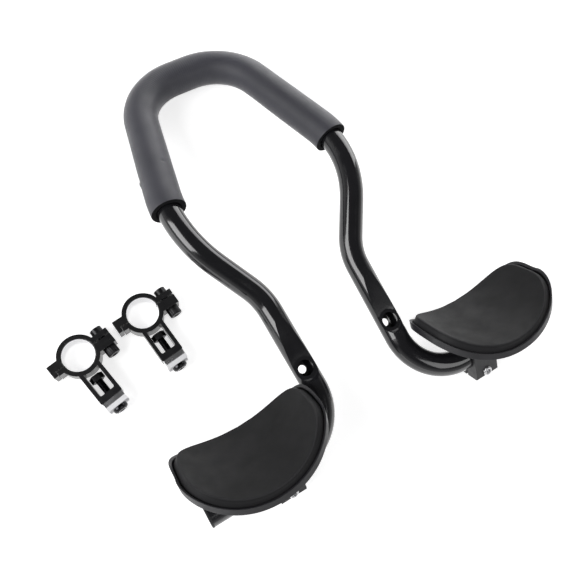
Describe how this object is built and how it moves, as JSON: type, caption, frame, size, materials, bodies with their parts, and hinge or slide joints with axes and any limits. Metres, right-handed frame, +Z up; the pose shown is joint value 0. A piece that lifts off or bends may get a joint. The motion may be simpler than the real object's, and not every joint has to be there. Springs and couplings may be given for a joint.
{
  "type": "aero handlebar extension",
  "caption": "Bent U-shaped aero bar for a bicycle, with a foam grip, cupped padded arm rests on tilting brackets, and windowed riser clamps lying beside it.",
  "frame": {"origin": "middle of the whole set's footprint, on the floor it lies on", "axes": "+Y towards the foam loop at the bar's front, +X to the bar's right, +Z up from the floor"},
  "size_m": [0.3778, 0.383, 0.0722],
  "materials": {
    "tube_paint": "gloss black paint",
    "grip_foam": "matte dark grey foam rubber, finely ribbed",
    "plug_plastic": "satin black",
    "pad_foam": "matte black foam with a smooth skin",
    "pad_tape": "black self-adhesive sheet",
    "tray_plastic": "satin black moulded plastic",
    "bracket_paint": "satin black paint",
    "bright_steel": "zinc-plated",
    "black_steel": "black oxide",
    "clamp_black": "black anodised, bore edges bare",
    "bare_aluminium": "bright, bare"
  },
  "bodies": {
    "bar": {"bar_tube": "tube_paint", "foam_grip": "grip_foam", "end_plug_left": "plug_plastic", "end_plug_right": "plug_plastic", "clamp_body_1": "clamp_black", "clamp_strap_1": "clamp_black", "strap_screw_1": "black_steel", "strap_nut_1": "black_steel", "tube_saddle_1": "bare_aluminium", "riser_bolt_1": "bright_steel", "riser_nut_1": "black_steel", "clamp_body_2": "clamp_black", "clamp_strap_2": "clamp_black", "strap_screw_2": "black_steel", "strap_nut_2": "black_steel", "tube_saddle_2": "bare_aluminium", "riser_bolt_2": "bright_steel", "riser_nut_2": "black_steel"},
    "arm_rest_left": {"arm_pad_left": "pad_foam", "pad_tape_left": "pad_tape", "arm_tray_left": "tray_plastic", "tray_bracket_left": "bracket_paint", "tray_screws_left": "bright_steel", "bracket_screw_left": "bright_steel", "bracket_nut_left": "bright_steel"},
    "arm_rest_right": {"arm_pad_right": "pad_foam", "pad_tape_right": "pad_tape", "arm_tray_right": "tray_plastic", "tray_bracket_right": "bracket_paint", "tray_screws_right": "bright_steel", "bracket_screw_right": "bright_steel", "bracket_nut_right": "bright_steel"}
  },
  "joints": [
    {"name": "arm_rest_tilt_left", "type": "hinge", "parent": "bar", "child": "arm_rest_left", "pos_m": [-0.07129, -0.16819, 0.02157], "axis": [1, 0, 0], "range_deg": [-3, 65]},
    {"name": "arm_rest_tilt_right", "type": "hinge", "parent": "bar", "child": "arm_rest_right", "pos_m": [0.11871, -0.16819, 0.02157], "axis": [1, 0, 0], "range_deg": [-3, 65]}
  ]
}
